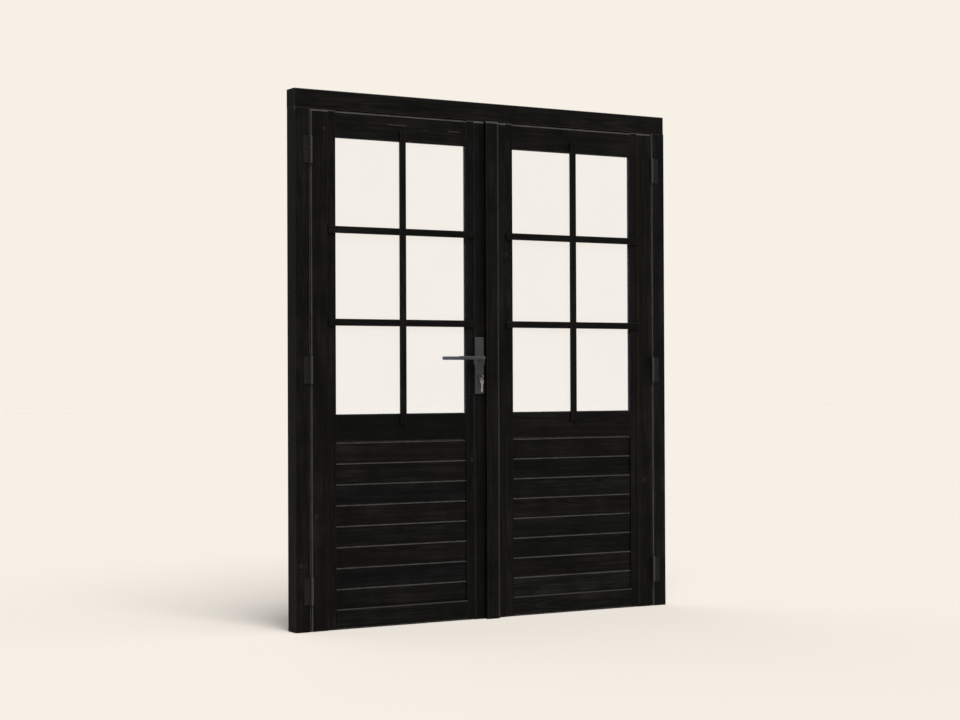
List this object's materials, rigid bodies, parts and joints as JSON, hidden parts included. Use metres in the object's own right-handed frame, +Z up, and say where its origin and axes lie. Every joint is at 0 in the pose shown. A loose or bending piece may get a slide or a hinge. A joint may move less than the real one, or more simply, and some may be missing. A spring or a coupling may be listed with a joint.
{
  "type": "french doors",
  "caption": "Pair of glazed timber double doors in a three-sided frame: boarded lower panels, glazing bars, cover strip, butt hinges, lever lock and flush bolts.",
  "frame": {"origin": "on the floor, midway between the jambs, in the middle of the leaves' thickness", "axes": "+X along the frame towards the passive leaf's hinges, +Y through the doorway away from the side with the hinge knuckles, +Z up"},
  "size_m": [1.68, 0.145, 2.01],
  "materials": {
    "stained_wood": "black-brown stained softwood with the grain showing, satin",
    "glass": "clear float glass",
    "rubber": "matt black weather seal",
    "black_steel": "dark powder coat, satin",
    "lock_metal": "dark grey lacquered lock furniture, satin",
    "bright_steel": "brushed bright steel"
  },
  "bodies": {
    "frame": {"frame_head": "stained_wood", "frame_jamb_left": "stained_wood", "frame_jamb_right": "stained_wood", "frame_screws": "bright_steel", "seal_head": "rubber", "seal_left": "rubber", "seal_right": "rubber", "bolt_keep": "black_steel", "jamb_flaps_left": "black_steel", "jamb_flaps_right": "black_steel", "hinge_pins": "black_steel", "hinge_screws": "black_steel"},
    "active_leaf": {"active_hinge_stile": "stained_wood", "active_lock_stile": "stained_wood", "active_top_rail": "stained_wood", "active_mid_rail": "stained_wood", "active_bottom_rail": "stained_wood", "active_boards": "stained_wood", "active_glass": "glass", "active_bar_vertical": "stained_wood", "active_bar_upper": "stained_wood", "active_bar_lower": "stained_wood", "active_beads": "stained_wood", "active_flaps": "black_steel", "active_screws": "black_steel", "cover_strip": "stained_wood", "lock_case": "bright_steel", "lock_forend": "bright_steel", "outer_plate": "lock_metal", "inner_plate": "lock_metal", "plate_screws": "bright_steel", "lock_cylinder": "bright_steel"},
    "passive_leaf": {"passive_hinge_stile": "stained_wood", "passive_meeting_stile": "stained_wood", "passive_top_rail": "stained_wood", "passive_mid_rail": "stained_wood", "passive_bottom_rail": "stained_wood", "passive_boards": "stained_wood", "passive_glass": "glass", "passive_bar_vertical": "stained_wood", "passive_bar_upper": "stained_wood", "passive_bar_lower": "stained_wood", "passive_beads": "stained_wood", "passive_flaps": "black_steel", "passive_screws": "black_steel", "strike_plate": "black_steel", "flush_bolt_bodies": "black_steel"},
    "lever_set": {"outer_lever": "lock_metal", "inner_lever": "lock_metal", "spindle": "bright_steel", "follower": "bright_steel"},
    "latch": {"latch_bolt": "bright_steel"},
    "bolt": {"dead_bolt": "bright_steel"},
    "key_set": {"lock_cam": "bright_steel", "cylinder_plug": "bright_steel", "key": "bright_steel", "key_ring": "bright_steel", "spare_key": "bright_steel"},
    "upper_flush_bolt": {"top_bolt": "bright_steel"},
    "lower_flush_bolt": {"bottom_bolt": "bright_steel"}
  },
  "joints": [
    {"name": "active_swing", "type": "hinge", "parent": "frame", "child": "active_leaf", "pos_m": [-0.7765, -0.0253, 0], "axis": [0, 0, -1], "range_deg": [0, 165]},
    {"name": "passive_swing", "type": "hinge", "parent": "frame", "child": "passive_leaf", "pos_m": [0.7765, -0.0253, 0], "axis": [0, 0, 1], "range_deg": [0, 165]},
    {"name": "lever_turn", "type": "hinge", "parent": "active_leaf", "child": "lever_set", "pos_m": [-0.0545, 0, 1.014], "axis": [0, -1, 0], "range_deg": [0, 40], "stiffness_Nm_per_rad": 1.5, "springref_deg": -28.65},
    {"name": "latch_slide", "type": "slide", "parent": "active_leaf", "child": "latch", "axis": [-1, 0, 0], "range_m": [0, 0.0121]},
    {"name": "key_turn", "type": "hinge", "parent": "active_leaf", "child": "key_set", "pos_m": [-0.0545, 0, 0.942], "axis": [0, 1, 0], "range_deg": [0, 360]},
    {"name": "bolt_slide", "type": "slide", "parent": "active_leaf", "child": "bolt", "axis": [1, 0, 0], "range_m": [0, 0.0201]},
    {"name": "top_bolt_slide", "type": "slide", "parent": "passive_leaf", "child": "upper_flush_bolt", "axis": [0, 0, 1], "range_m": [0, 0.018]},
    {"name": "bottom_bolt_slide", "type": "slide", "parent": "passive_leaf", "child": "lower_flush_bolt", "axis": [0, 0, -1], "range_m": [0, 0.018]}
  ],
  "couplings": [
    {"joint": "latch_slide", "follows": "lever_turn", "m_per_rad": 0.01718},
    {"joint": "bolt_slide", "follows": "key_turn", "m_per_rad": 0.003183}
  ]
}
